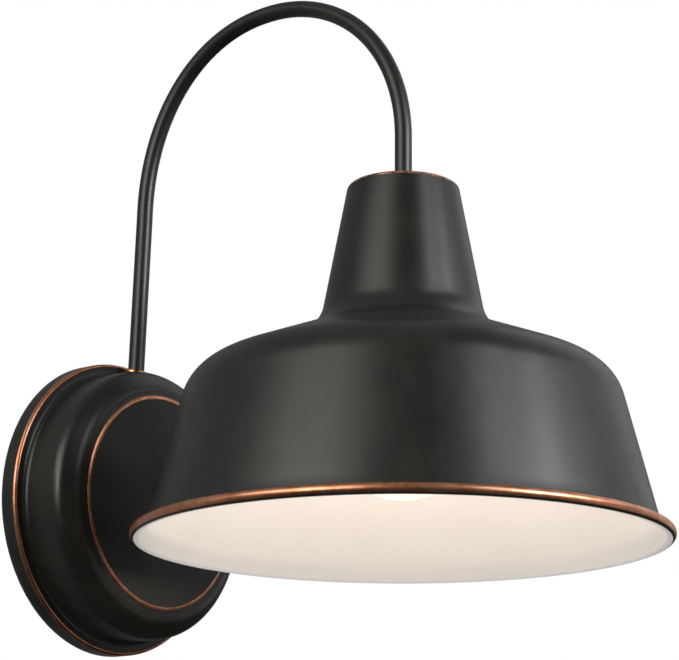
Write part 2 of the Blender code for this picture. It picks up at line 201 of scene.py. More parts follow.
def turned(name, outline, at=(0, 0, 0), turn=Matrix(), sides=SMALL_ROUND, shape=None, ring=False, crease=32):
    """An outline of (radius, height, wear) points, down its outer side, turned about Z and put in place.

    It runs from axis to axis, or is a closed loop if ring is set. shape(radius, height, angle) gives each
    point's own radius, for threads, flutes and hexagons. wear is kept as an attribute that materials read.
    """
    work, wear_layer = new_work()
    rows = []
    for radius, height, wear in outline:
        row = []
        on_axis = radius < 1e-6
        for k in range(1 if on_axis else sides):
            angle = 2 * math.pi * k / sides
            r = shape(radius, height, angle) if shape and not on_axis else radius
            vert = work.verts.new((r * math.cos(angle) * MM, r * math.sin(angle) * MM, height * MM))
            vert[wear_layer] = wear
            row.append(vert)
        rows.append(row)
    pairs = list(zip(rows, rows[1:]))
    if ring:
        pairs.append((rows[-1], rows[0]))
    for upper, lower in pairs:
        for k in range(sides):
            n = (k + 1) % sides
            if len(upper) == 1 and len(lower) == 1:
                continue
            if len(upper) == 1:
                work.faces.new((upper[0], lower[k], lower[n]))
            elif len(lower) == 1:
                work.faces.new((upper[k], lower[0], upper[n]))
            else:
                work.faces.new((upper[k], lower[k], lower[n], upper[n]))
    mesh = finished(work, name)
    mesh.transform(Matrix.Translation([c * MM for c in at]) @ turn)
    with_normals(mesh, crease)
    return linked(name, mesh)


def tube(name, route, radius, bore=0.0, sides=32):
    """A round bar along (x, y, z) points, or a pipe if it has a bore."""
    points = [Vector(p) * MM for p in route]
    work, _ = new_work()
    angles = [2 * math.pi * s / sides for s in range(sides)]
    side = Vector((1, 0, 0))
    rings = []
    for k, point in enumerate(points):
        ahead = points[min(k + 1, len(points) - 1)] - points[max(k - 1, 0)]
        ahead.normalize()
        side = (side - ahead * side.dot(ahead)).normalized()
        across = ahead.cross(side)
        rings.append([
            [work.verts.new(point + (side * math.cos(a) + across * math.sin(a)) * width * MM) for a in angles]
            for width in ([radius, bore] if bore else [radius])
        ])
    for a, b in zip(rings, rings[1:]):
        for layer, (near, far) in enumerate(zip(a, b)):
            for k in range(sides):
                n = (k + 1) % sides
                face = (near[k], near[n], far[n], far[k])
                work.faces.new(face if layer == 0 else face[::-1])
    for end, first in ((rings[0], True), (rings[-1], False)):
        if bore:
            for k in range(sides):
                n = (k + 1) % sides
                face = (end[0][n], end[0][k], end[1][k], end[1][n])
                work.faces.new(face if first else face[::-1])
        else:
            work.faces.new(end[0][::-1] if first else end[0])
    mesh = finished(work, name)
    with_normals(mesh, 40)
    return linked(name, mesh)


def smooth_route(points, per_span):
    """Points along the Catmull-Rom curve through the given points."""
    def between(a, b, c, d, t):
        square, cube = 2 * a - 5 * b + 4 * c - d, 3 * b - a - 3 * c + d
        return 0.5 * (2 * b + (c - a) * t + square * t**2 + cube * t**3)

    padded = [points[0], *points, points[-1]]
    route = []
    for four in zip(padded, padded[1:], padded[2:], padded[3:]):
        for step in range(per_span):
            route.append(tuple(between(*abcd, step / per_span) for abcd in zip(*four)))
    return [*route, points[-1]]


def carved(obj, *tools):
    """The object with the tools cut away; the tools are used up."""
    for tool in tools:
        boolean = obj.modifiers.new("carve", "BOOLEAN")
        boolean.operation = "DIFFERENCE"
        boolean.object = tool
    graph = bpy.context.evaluated_depsgraph_get()
    mesh = bpy.data.meshes.new_from_object(obj.evaluated_get(graph))
    obj.modifiers.clear()
    obj.data = mesh
    for tool in tools:
        bpy.data.objects.remove(tool)
    with_normals(mesh, 32)
    return obj


def block(name, centre, dims):
    """A plain box."""
    work, _ = new_work()
    bmesh.ops.create_cube(work, size=1)
    bmesh.ops.scale(work, vec=dims, verts=work.verts)
    mesh = finished(work, name)
    mesh.transform(Matrix.Translation(Vector(centre) * MM) @ Matrix.Scale(MM, 4))
    with_normals(mesh, 35)
    return linked(name, mesh)


def prism(name, outline, reach, turn=Matrix()):
    """An outline whose points start with (x, y), drawn out along Z by reach on both sides, then turned."""
    work, _ = new_work()
    bottom, top = (
        [work.verts.new((x * MM, y * MM, z * MM)) for x, y, *_ in outline] for z in (-reach, reach)
    )
    work.faces.new(bottom)
    work.faces.new(top[::-1])
    for k in range(len(outline)):
        n = (k + 1) % len(outline)
        work.faces.new((bottom[n], bottom[k], top[k], top[n]))
    bmesh.ops.recalc_face_normals(work, faces=work.faces)
    mesh = finished(work, name)
    mesh.transform(turn)
    return linked(name, mesh)


def drill(radius, at, turn):
    """A tool that makes a round hole along its Z."""
    rim = [(0, CUT_REACH, 0), (radius, CUT_REACH, 0), (radius, -CUT_REACH, 0), (0, -CUT_REACH, 0)]
    return turned("tool", rim, at=at, turn=turn)


# ---------------------------------------------------------------- shapes for turned pieces


def hexagon(across):
    """Limits a turned radius to a hexagon of this width across its flats."""
    def shape(radius, _height, angle):
        if radius < across * 0.45:
            return radius
        return min(radius, across / 2 / math.cos((angle % (math.pi / 3)) - math.pi / 6))
    return shape


def screw_thread(bottom, top, pitch, depth, inner=0.0):
    """A helical thread between two heights, fading out at its ends, where the radius is inner or more.

    A negative depth cuts outward, as in a bore.
    """
    def shape(radius, height, angle):
        if not bottom < height < top or radius < inner:
            return radius
        fade = min(1, (height - bottom) / pitch, (top - height) / pitch)
        return radius - depth * fade * (0.5 + 0.5 * math.cos(2 * math.pi * height / pitch - angle))
    return shape


def fluted(bottom, top, count, depth, inner):
    """So many flutes between two heights, where the radius is inner or more."""
    def shape(radius, height, angle):
        if not bottom < height < top or radius < inner:
            return radius
        fade = min(1, (height - bottom), (top - height))
        return radius - depth * fade * (0.5 + 0.5 * math.cos(count * angle))
    return shape


# ---------------------------------------------------------------- materials


class Look:
    """One procedural material: a Principled shader and the nodes that feed it."""

    def __init__(self, name, colour, roughness, metallic=0.0, **sockets):
        self.material = bpy.data.materials.new(name)
        self.material.use_nodes = True
        self.tree = self.material.node_tree
        self.shader = self.tree.nodes["Principled BSDF"]
        self.shader.inputs["Base Color"].default_value = (*colour, 1)
        self.shader.inputs["Roughness"].default_value = roughness
        self.shader.inputs["Metallic"].default_value = metallic
        for socket, value in sockets.items():
            self.shader.inputs[socket.replace("_", " ")].default_value = value
        self.place = self.tree.nodes.new("ShaderNodeTexCoord").outputs["Object"]

    def node(self, kind, inputs=(), **settings):
        made = self.tree.nodes.new("ShaderNode" + kind)
        for key, value in settings.items():
            setattr(made, key, value)
        for socket, value in dict(inputs).items():
            if isinstance(value, bpy.types.NodeSocket):
                self.tree.links.new(value, made.inputs[socket])
            else:
                made.inputs[socket].default_value = value
        return made

    def noise(self, scale, detail=3.0, roughness=0.5, stretch=None):
        """Noise in space; scale is in features a metre."""
        where = self.place
        if stretch:
            where = self.node("Mapping", {"Vector": where, "Scale": stretch}).outputs["Vector"]
        inputs = {"Vector": where, "Scale": scale, "Detail": detail, "Roughness": roughness}
        return self.node("TexNoise", inputs).outputs["Fac"]

    def spread(self, value, low_in, high_in, low_out=0.0, high_out=1.0):
        inputs = {"Value": value, "From Min": low_in, "From Max": high_in, "To Min": low_out, "To Max": high_out}
        return self.node("MapRange", inputs, clamp=True).outputs["Result"]

    def blend(self, factor, first, second):
        """A colour between two, each a colour or a socket."""
        mix = self.node("Mix", data_type="RGBA")
        self.tree.links.new(factor, mix.inputs[0])
        for socket, value in ((mix.inputs[6], first), (mix.inputs[7], second)):
            if isinstance(value, bpy.types.NodeSocket):
                self.tree.links.new(value, socket)
            else:
                socket.default_value = (*value, 1)
        return mix.outputs[2]

    def math(self, operation, first, second):
        return self.node("Math", {0: first, 1: second}, operation=operation).outputs[0]

    def feed(self, socket, value):
        self.tree.links.new(value, self.shader.inputs[socket])
        return self

    def grain(self, height, distance, strength=1.0):
        """A bump from a height, its distance in millimetres."""
        inputs = {"Height": height, "Distance": distance * MM, "Strength": strength}
        self.feed("Normal", self.node("Bump", inputs).outputs["Normal"])
        return self


def bronze_look():
    """Dark satin bronze with faint mottling and orange peel, rubbed through to copper where wear says."""
    look = Look("bronze_finish", (0.013, 0.0135, 0.0115), 0.36)
    mottle = look.spread(look.noise(55, 5, 0.6), 0.35, 0.7)
    dark = look.blend(mottle, (0.0095, 0.0102, 0.0082), (0.0165, 0.0170, 0.0130))
    wear = look.node("Attribute", attribute_name="wear").outputs["Fac"]
    ragged = look.math("ADD", wear, look.spread(look.noise(420, 4, 0.7), 0.3, 0.7, -0.26, 0.26))
    rubbed = look.spread(ragged, 0.42, 0.66)
    tint = look.spread(look.noise(160, 3, 0.6), 0.35, 0.65)
    copper = look.blend(tint, (0.56, 0.205, 0.095), (0.76, 0.365, 0.225))
    look.feed("Base Color", look.blend(rubbed, dark, copper))
    look.feed("Metallic", look.spread(rubbed, 0, 1, 0.0, 0.95))
    satin = look.spread(look.noise(90, 4, 0.6), 0.3, 0.7, 0.33, 0.40)
    rough = look.node("Mix", {0: rubbed, 2: satin, 3: 0.35}, data_type="FLOAT")
    look.feed("Roughness", rough.outputs[0])
    peel = look.math("ADD", look.noise(1100, 2), look.math("MULTIPLY", look.noise(260, 2), 0.8))
    return look.grain(peel, 0.035, 0.22).material


def enamel_look():
    """Baked white enamel, slightly wavy and a little varied in tone at random."""
    look = Look("white_enamel", (0.90, 0.885, 0.86), 0.34, Coat_Weight=0.25, Coat_Roughness=0.2)
    tone = look.spread(look.noise(25, 3), 0.3, 0.7)
    look.feed("Base Color", look.blend(tone, (0.885, 0.868, 0.842), (0.915, 0.902, 0.880)))
    return look.grain(look.noise(350, 3), 0.05, 0.2).material


def copper_look():
    look = Look("copper_edge", (0.62, 0.27, 0.15), 0.28, 1.0)
    tint = look.spread(look.noise(220, 4, 0.6), 0.3, 0.7)
    look.feed("Base Color", look.blend(tint, (0.48, 0.18, 0.085), (0.75, 0.38, 0.24)))
    look.feed("Roughness", look.spread(look.noise(500, 3), 0.3, 0.7, 0.22, 0.38))
    return look.grain(look.noise(1500, 2), 0.02, 0.3).material


def metal_look(name, colour, roughness, brush=(1, 1, 1), grain=900):
    """Plated or bare metal: a little blotched, with a fine grain that brush stretches into lines."""
    look = Look(name, colour, roughness, 1.0)
    blotch = look.spread(look.noise(140, 4, 0.6), 0.3, 0.7)
    dull, bright = [c * 0.86 for c in colour], [min(1, c * 1.08) for c in colour]
    look.feed("Base Color", look.blend(blotch, dull, bright))
    lines = look.noise(grain, 4, 0.6, stretch=brush)
    look.feed("Roughness", look.spread(lines, 0.3, 0.7, roughness - 0.06, roughness + 0.1))
    return look.grain(lines, 0.02, 0.35).material


def plain_look(name, colour, roughness, scale=400, bump=0.03, variety=0.08, **sockets):
    """Plastic, rubber, foam or glaze: a slightly varied colour over a fine surface texture."""
    look = Look(name, colour, roughness, **sockets)
    tone = look.spread(look.noise(scale / 6, 3), 0.3, 0.7)
    shades = [[min(1, c * (1 - variety)) for c in colour], [min(1, c * (1 + variety)) for c in colour]]
    look.feed("Base Color", look.blend(tone, *shades))
    smooth, rough = roughness * 0.85, min(1, roughness * 1.15)
    look.feed("Roughness", look.spread(look.noise(scale, 3), 0.3, 0.7, smooth, rough))
    return look.grain(look.noise(scale * 2.5, 3), bump, 0.4).material


def lit_glass_look():
    """Frosted glass that glows warm, as if lit from inside."""
    look = Look(
        "frosted_glass", (0.96, 0.93, 0.88), 0.42,
        Emission_Color=(1.0, 0.82, 0.68, 1.0), Emission_Strength=BULB_GLOW,
    )
    cloud = look.spread(look.noise(60, 3), 0.3, 0.7)
    look.feed("Base Color", look.blend(cloud, (0.93, 0.90, 0.84), (0.98, 0.96, 0.92)))
    return look.grain(look.noise(2500, 2), 0.01, 0.3).material


def clear_glass_look(name, colour):
    look = Look(name, colour, 0.04, Transmission_Weight=0.9, IOR=1.5)
    tone = look.spread(look.noise(200, 3), 0.3, 0.7)
    look.feed("Base Color", look.blend(tone, [c * 0.93 for c in colour], colour))
    return look.grain(look.noise(500, 2), 0.01, 0.2).material


BRONZE = bronze_look()
ENAMEL = enamel_look()
COPPER = copper_look()
ZINC = metal_look("zinc_steel", (0.60, 0.61, 0.60), 0.34, brush=(1, 8, 8))
NICKEL = metal_look("bulb_base_metal", (0.70, 0.68, 0.64), 0.27)
BRASS = metal_look("brass_contact", (0.72, 0.50, 0.22), 0.27)
TUNGSTEN = metal_look("tungsten", (0.35, 0.34, 0.33), 0.4, grain=3000)
GREEN_METAL = metal_look("green_screw", (0.05, 0.24, 0.09), 0.38)
FOAM = plain_look("gasket_foam", (0.028, 0.028, 0.030), 0.92, scale=1500, bump=0.25, variety=0.25)
SILICONE = plain_look("silicone_seal", (0.50, 0.50, 0.47), 0.62, scale=600)
PORCELAIN = plain_look("porcelain", (0.86, 0.84, 0.79), 0.22, scale=250, variety=0.03, Coat_Weight=0.5)
BLACK_GLASS = plain_look("black_glass", (0.012, 0.012, 0.014), 0.10, scale=300, bump=0.01)
CLEAR_GLASS = clear_glass_look("clear_glass", (0.90, 0.95, 0.95))
FROSTED = lit_glass_look()
BLACK_PVC = plain_look("black_insulation", (0.018, 0.018, 0.019), 0.42, scale=700)
WHITE_PVC = plain_look("white_insulation", (0.78, 0.77, 0.73), 0.42, scale=700)
GREEN_PVC = plain_look("green_insulation", (0.03, 0.23, 0.075), 0.42, scale=700)
YELLOW_CAP = plain_look("yellow_connector", (0.80, 0.52, 0.03), 0.34, scale=500)
GREEN_CAP = plain_look("green_connector", (0.035, 0.30, 0.10), 0.34, scale=500)


def piece(obj, material, slot, *nodes, body="fixture"):
    """Gives a piece its material, hangs it on its body and hides the frame's nodes it stands for; slot is not
    used.
    """
    obj.data.materials.clear()
    obj.data.materials.append(material)
    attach(obj, body)
    if nodes:
        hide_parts(*nodes)
    return obj


# ---------------------------------------------------------------- canopy and what is behind it


def canopy_outline():
    """The canopy's outer side: its face, shoulder, drum, fillet and flange."""
    return rounded([
        (0, FACE_DEPTH + 0.15),
        (20, FACE_DEPTH + 0.1),
        (42.4, FACE_DEPTH),
        (43.0, FACE_DEPTH, 0, 0.9),
        (43.55, FACE_DEPTH - 0.12, 0, 1.0),
        (43.95, FACE_DEPTH - 0.42, 0, 0.8),
        (44.3, FACE_DEPTH - 0.62),
        (48.3, FACE_DEPTH - 0.64, 8.0),
        (DRUM_RADIUS, FACE_DEPTH - 6.2, 6.0),
        (DRUM_RADIUS, DRUM_BASE, 2.2),
        (59.0, DRUM_BASE),
        (59.5, DRUM_BASE, 0, 0.45),
        (CANOPY_RADIUS, DRUM_BASE, 1.25, 1.0),
        (CANOPY_RADIUS, DRUM_BASE - 1.4, 0, 0.3),
        (CANOPY_RADIUS, DRUM_BASE - 1.8),
        (CANOPY_RADIUS, 0.6),
        (CANOPY_RADIUS - 0.3, 0),
    ], 10)


def make_canopy():
    outer = dense(canopy_outline(), 2.5)
    inner = inset(outer, CANOPY_WALL)
    inner[-1] = (0, FACE_DEPTH - CANOPY_WALL, 0)
    canopy = turned("canopy_shell", outer + inner, turn=FACING_OUT, sides=ROUND, crease=40)
    piece(canopy, BRONZE, "bronze_finish", "canopy")

    width, depth, _ = size("wall_gasket")
    radius = width / 2
    inner_radius = radius - 4.6
    foam = rounded_loop([
        (inner_radius, depth), (radius, depth, 0.8), (radius, 0, 0.5), (inner_radius, 0, 0.5),
    ], 4)
    gasket = turned("foam_gasket", foam, turn=FACING_OUT, sides=ROUND, ring=True)
    piece(gasket, FOAM, "gasket_foam", "wall_gasket")


def slot_outline(middle_x, run, radius):
    """A long hole's outline: two half circles, centred run to each side of its middle."""
    angles = [math.radians(d) for d in range(-90, 91, 15)]
    return [
        (middle_x + end * (run + radius * math.cos(a)), end * radius * math.sin(a))
        for end in (1, -1) for a in angles
    ]


def make_strap():
    """A bar bent forward at both ends with rounded bends, pierced by two long slots and three holes."""
    length, depth, width = size("mounting_strap")
    half, thick, hook = length / 2, 1.6, 9.0
    bar = rounded_loop([
        (0, 0), (half, 0, 2.4), (half, -depth), (half - thick, -depth), (half - thick, -thick, 0.8),
        (-half + thick, -thick, 0.8), (-half + thick, -hook), (-half, -hook), (-half, 0, 2.4),
    ], 5)
    strap = prism("crossbar", bar, width / 2)
    holes = [
        drill(5.2, (0, 0, 0), FACING_OUT),
        drill(2.0, (middle("ground_screw")[0], 0, 0), FACING_OUT),
        drill(2.3, (half, middle("canopy_lock_screw")[1], 0), FACING_RIGHT),
    ]
    slots = [prism("tool", slot_outline(x, 6.6, 2.4), CUT_REACH, FACING_OUT) for x in (-38.0, 38.0)]
    carved(strap, *holes, *slots)
    piece(strap, ZINC, "zinc_steel", "mounting_strap")


def cross_head_screw(name, head, shank, rise, length, at, turn):
    """A pan-head machine screw with a threaded shank and a cross recess. Its head's underside is at z = 0."""
    outline = rounded([
        (0, rise), (head, rise, rise * 0.62), (head, 0), (shank, 0), (shank, -length + 0.4),
        (shank - 0.4, -length), (0, -length),
    ], 6)
    thread = screw_thread(-length, -0.2, 0.8, 0.22, inner=shank - 0.1)
    screw = turned(name, dense(outline, 0.2), at, turn, sides=32, shape=thread)
    place = Matrix.Translation(Vector(at) * MM) @ turn @ Matrix.Translation((0, 0, rise * MM))
    bars = []
    for angle in (0.4, math.pi / 2 + 0.4):
        bar = block("tool", (0, 0, 0), (head * 1.15, 0.85, rise * 1.1))
        bar.data.transform(place @ Matrix.Rotation(angle, 4, "Z"))
        bars.append(bar)
    return carved(screw, *bars)


def make_canopy_fasteners():
    rise = 2.4
    for node in ("box_screw_left", "box_screw_right"):
        x, _, z = middle(node)
        y = low(node, 1) + rise
        screw = cross_head_screw(node + "_zinc", 3.6, 2.0, rise, -y, (x, y, z), FACING_OUT)
        piece(screw, ZINC, "zinc_steel", node)
    rise = 2.0
    x, _, z = middle("ground_screw")
    head_at = (x, low("ground_screw", 1) + rise, z)
    screw = cross_head_screw("ground_screw_green", 3.4, 1.7, rise, 3.6, head_at, FACING_OUT)
    piece(screw, GREEN_METAL, "green_screw", "ground_screw")
    rise = 2.2
    _, y, z = middle("canopy_lock_screw")
    head_at = (high("canopy_lock_screw", 0) - rise, y, z)
    screw = cross_head_screw("lock_screw_bronze", 3.6, 1.95, rise, 9.5, head_at, FACING_RIGHT)
    piece(screw, BRONZE, "bronze_finish", "canopy_lock_screw")


# ---------------------------------------------------------------- arm


def arm_route(sideways=0.0, start=ARM_FOOT, end=ARM_END):
    """The arm's centreline: a leg that leans a little, a rounded bend and a straight drop into the neck."""
    foot_y = high("arm_tube", 1) - TUBE_RADIUS
    lean, bend_steps = 2.1, 96
    leg_y, leg_z, leg_power = foot_y - lean, ARM_TOP - 78.65, 0.925
    drop_z, top_y = ARM_TOP - 70.55, foot_y - 69.6
    route = []
    for z in np.linspace(start, leg_z, 24)[:-1]:
        route.append((sideways, foot_y - lean * (z - ARM_FOOT) / (leg_z - ARM_FOOT), z))
    for step in range(bend_steps + 1):
        angle = math.pi * step / bend_steps
        on_leg = angle < math.pi / 2
        side_y, side_z, power = (leg_y, leg_z, leg_power) if on_leg else (SHADE_Y, drop_z, 1)
        y = top_y + (side_y - top_y) * abs(math.cos(angle)) ** power
        route.append((sideways, y, side_z + (ARM_TOP - side_z) * math.sin(angle) ** power))
    for z in np.linspace(drop_z, end, 16)[1:]:
        route.append((sideways, SHADE_Y, z))
    return route


def make_arm():
    pipe = tube("gooseneck_pipe", arm_route(), TUBE_RADIUS, bore=2.5, sides=40)
    piece(pipe, BRONZE, "bronze_finish", "arm_tube")
    x, y, z = middle("arm_collar")
    tilt = Matrix.Rotation(math.radians(10), 4, "X")
    ferrule = rounded_loop([
        (TUBE_HOLE, 0.75), (4.05, 0.75, 0.1), (4.75, 0.55, 0.5), (4.85, -0.75, 0.3),
        (TUBE_HOLE, -0.75),
    ], 6)
    collar = turned("arm_ferrule", ferrule, at=(x, y, z - 0.05), turn=tilt, sides=64, ring=True)
    piece(collar, COPPER, "copper_edge", "arm_collar")
    washer("arm_base_washer", "arm_washer", ZINC, "zinc_steel", hole=3.9)
    hex_nut("arm_lock_nut", "arm_nut", across=10.5)


def washer(name, node, material, slot, hole=TUBE_HOLE, edge=0.25):
    radius, half = size(node)[0] / 2, size(node)[2] / 2
    section = rounded_loop([
        ((hole + radius) / 2, half), (radius, half, edge), (radius, -half, edge), (hole, -half, edge),
        (hole, half, edge),
    ], 4)
    piece(turned(name, section, at=middle(node), ring=True, sides=64), material, slot, node)


def hex_nut(name, node, across):
    """A chamfered hexagon nut with a threaded bore."""
    half = size(node)[2] / 2
    corner, flat = across / math.sqrt(3), across / 2 - 0.2
    section = dense([
        (NUT_BORE + 0.35, half, 0), (flat, half, 0), (corner, half - 0.75, 0),
        (corner, -half + 0.75, 0), (flat, -half, 0), (NUT_BORE + 0.35, -half, 0),
        (NUT_BORE, -half + 0.35, 0), (NUT_BORE, half - 0.35, 0),
    ], 0.22)
    flats = hexagon(across)
    thread = screw_thread(-half + 0.3, half - 0.3, 0.9, -0.2)
    nut = turned(
        name, section, at=middle(node), sides=72, ring=True,
        shape=lambda r, h, a: flats(r, h, a) if r > NUT_BORE + 0.1 else thread(r, h, a),
    )
    piece(nut, ZINC, "zinc_steel", node)


# ---------------------------------------------------------------- shade


def shade_profile():
    """The shade's outer side, from the arm's hole down to the bead, and the bead's own arc."""
    skirt = rounded([
        (TUBE_HOLE, NECK_TOP),
        (19.4, NECK_TOP),
        (20.1, NECK_TOP, 0, 0.35),
        (21.8, NECK_TOP, 1.5, 0.54),
        (22.15, NECK_TOP - 1.7),
        (32.3, 54.6, 14.5),
        (81.5, 34.8, 18.9),
        (96.3, -24.3),
        (96.65, -25.1, 0, 0.3),
    ], 16)
    return dense(skirt, 4.0), bead_arc(128, -76, BEAD)


def bead_arc(start, end, radius):
    """Part of the rolled bead's section, in degrees from straight out. Copper shows above -40 degrees."""
    line = []
    for degrees in np.linspace(start, end, 2 + abs(end - start) // 10):
        angle = math.radians(degrees)
        x, y = radius * math.cos(angle), radius * math.sin(angle)
        line.append((RIM_RADIUS - BEAD + x, RIM_BOTTOM + BEAD + y, 1.0 if degrees > -40 else 0.0))
    return line


def make_shade():
    """The bronze spinning, and the enamel inside it, which wraps the bead to a little past its lowest line."""
    skirt, bead = shade_profile()
    settings = {"at": (0, SHADE_Y, 0), "sides": SHADE_ROUND, "ring": True, "crease": 50}
    section = [*skirt, *bead, *bead_arc(-80, -150, BEAD - 0.25), *inset(skirt, SHADE_WALL)[1:]]
    piece(turned("shade_spinning", section, **settings), BRONZE, "bronze_finish", "shade")

    under = inset(skirt, SHADE_WALL + 0.08)[::-1]
    face = inset(skirt, SHADE_WALL + 0.3)
    coat = [*under[1:-1], *bead_arc(-150, -78, BEAD - 0.2), *bead_arc(-76, -170, BEAD), *face[1:-1]]
    piece(turned("shade_lining", coat, **settings), ENAMEL, "white_enamel")

    washer("neck_gasket_ring", "neck_seal", SILICONE, "silicone_seal", edge=0.4)
    washer("neck_steel_washer", "neck_washer", ZINC, "zinc_steel")
    hex_nut("neck_lock_nut", "neck_nut", across=11.0)


# ---------------------------------------------------------------- lamp holder, wiring and bulb


def make_socket():
    settings = {"at": (0, SHADE_Y, 0), "sides": SOCKET_ROUND}
    radius = size("socket_cap")[0] / 2
    top, bottom = span("socket_cap")
    cup = dense(rounded([(TUBE_HOLE, top), (radius, top, 2.5), (radius, bottom)], 10), 3)
    cap = turned("socket_cup", cup + inset(cup, 0.8), ring=True, **settings)
    piece(cap, ZINC, "zinc_steel", "socket_cap")
    hex_nut("socket_lock_nut", "socket_nut", across=10.0)

    radius = size("socket_body")[0] / 2
    top, bottom = span("socket_body")
    neck, collar, mouth, ceiling = 17.5, radius - 0.9, 15.2, 86.9
    shoulder = bottom + 28.7
    body = rounded([
        (0, top), (neck, top, 1.2), (neck, shoulder, 0.4), (radius, shoulder, 1.0),
        (radius, bottom + 6, 0.8), (collar, bottom + 5, 0.6), (collar, bottom, 1.4),
        (mouth, bottom, 0.6), (mouth, ceiling, 0.8), (0, ceiling),
    ], 6)
    holder = turned("porcelain_holder", dense(body, 3), **settings)
    piece(holder, PORCELAIN, "porcelain", "socket_body")

    top, bottom = span("socket_shell")
    outside, inside, depth = 14.35, 13.95, 0.28
    sleeve = dense([
        (outside, top, 0), (outside, bottom + 0.3, 0), (14.2, bottom, 0), (inside, bottom + 0.2, 0),
        (inside, top, 0),
    ], 0.45)
    thread = screw_thread(bottom + 0.6, top - 0.6, BASE_PITCH, depth)
    shell = turned(
        "screw_shell", sleeve, ring=True, **settings,
        shape=lambda r, h, a: r if r > inside + 0.15 else thread(r - depth, h, a),
    )
    piece(shell, BRASS, "brass_contact", "socket_shell")

    tongue = rounded([(0, 0.5), (4.5, 0.35, 0.3), (4.5, -0.3, 0.2), (2.4, -0.5, 0.6), (0, -0.5)], 5)
    tab = turned("centre_contact", tongue, at=middle("socket_contact"))
    piece(tab, BRASS, "brass_contact", "socket_contact")
    for node in ("line_terminal_screw", "neutral_terminal_screw"):
        x, y, z = middle(node)
        head = rounded([(0, 1.0), (2.7, 1.0, 0.8), (2.7, -1.0, 0.15), (0, -1.0)], 6)
        screw = turned(node + "_brass", head, at=(x, y, z), sides=40)
        carved(screw, block("tool", (x, y, z + 1.0), (8, 0.9, 1.4)))
        piece(screw, BRASS, "brass_contact", node)


def make_wiring():
    """Two leads through the arm, a ground lead, and the twist connectors that join them to the house."""
    terminal = high("socket_body", 2)
    for side, name, material, slot in (
        (-1, "line", BLACK_PVC, "black_insulation"), (1, "neutral", WHITE_PVC, "white_insulation"),
    ):
        nut, offset = name + "_wire_nut", side * LEAD_OFFSET
        x, y, z = middle(nut)
        mouth = x - side * size(nut)[0] / 2
        inside = smooth_route([
            (mouth + side * 5, y, z), (mouth + side * 0.5, y, z + 0.2), (side * 6.4, y + 0.4, z + 2.6),
            (side * 2.6, y + 1.0, z + 8.0), (side * 1.2, y + 1.3, z + 13.5), (offset, y + 1.35, z + 15.5),
        ], 8)
        through = arm_route(offset, start=z + 16.0, end=96.0)
        tail = smooth_route([
            (offset, SHADE_Y, 96.0), (side * 1.4, SHADE_Y, 95.0), (side * 2.2, SHADE_Y, terminal + 3.3),
            (side * 3.6, SHADE_Y, terminal + 2.3), (side * 5.0, SHADE_Y, terminal + 1.7),
            (side * 6.4, SHADE_Y, terminal + 1.5),
        ], 5)
        lead = tube(name + "_lead", [*inside, *through[1:-1], *tail], LEAD_RADIUS, sides=16)
        piece(lead, material, slot, name + "_wire")
        connector(name + "_twist_connector", nut, side, YELLOW_CAP, "yellow_connector")
    x, y, z = middle("ground_wire_nut")
    mouth = x - size("ground_wire_nut")[0] / 2
    screw_x, _, screw_z = middle("ground_screw")
    under_head = -2.85
    route = smooth_route([
        (screw_x + 3.2, under_head, screw_z - 0.6), (screw_x + 5.4, under_head - 0.6, 2.2),
        (-9.0, -7.5, 9.6), (-4.5, -16.0, 14.4), (mouth, y, z), (mouth + 6, y, z),
    ], 12)
    ground = tube("ground_lead", route, LEAD_RADIUS, sides=16)
    piece(ground, GREEN_PVC, "green_insulation", "ground_wire")
    connector("ground_twist_connector", "ground_wire_nut", 1, GREEN_CAP, "green_connector")


def connector(name, node, side, material, slot):
    """A fluted cone that twists onto the leads, open at its mouth."""
    x, y, z = middle(node)
    length = size(node)[0]
    outline = rounded([
        (0, length), (3.0, length, 1.0), (4.3, 5.6, 0.4), (4.95, 4.6, 0.4), (4.95, 0, 0.4), (2.9, 0, 0.4),
        (2.9, 9.0), (0, 11.0),
    ], 5)
    cap = turned(
        name, dense(outline, 0.7), at=(x - side * length / 2, y, z), sides=72,
        turn=Matrix.Rotation(side * math.pi / 2, 4, "Y"),
        shape=fluted(5.8, length - 1.0, 12, 0.45, inner=3.5),
    )
    piece(cap, material, slot, node)


def light_bulb(glass, middle_z):
    """The light that gets out through the frosted glass, from inside it, wherever the bulb goes."""
    light = bpy.data.lights.new("bulb_light", "POINT")
    light.shadow_soft_size = BULB_LIGHT_RADIUS * MM
    light.energy, light.color = BULB_LIGHT, (1.0, 0.785, 0.62)
    light.cycles.use_multiple_importance_sampling = False
    lamp = linked("bulb_light", light)
    lamp.location = Vector((0, SHADE_Y, middle_z)) * MM
    lamp.visible_camera = False
    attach(lamp, "bulb")
    glass.visible_shadow = False


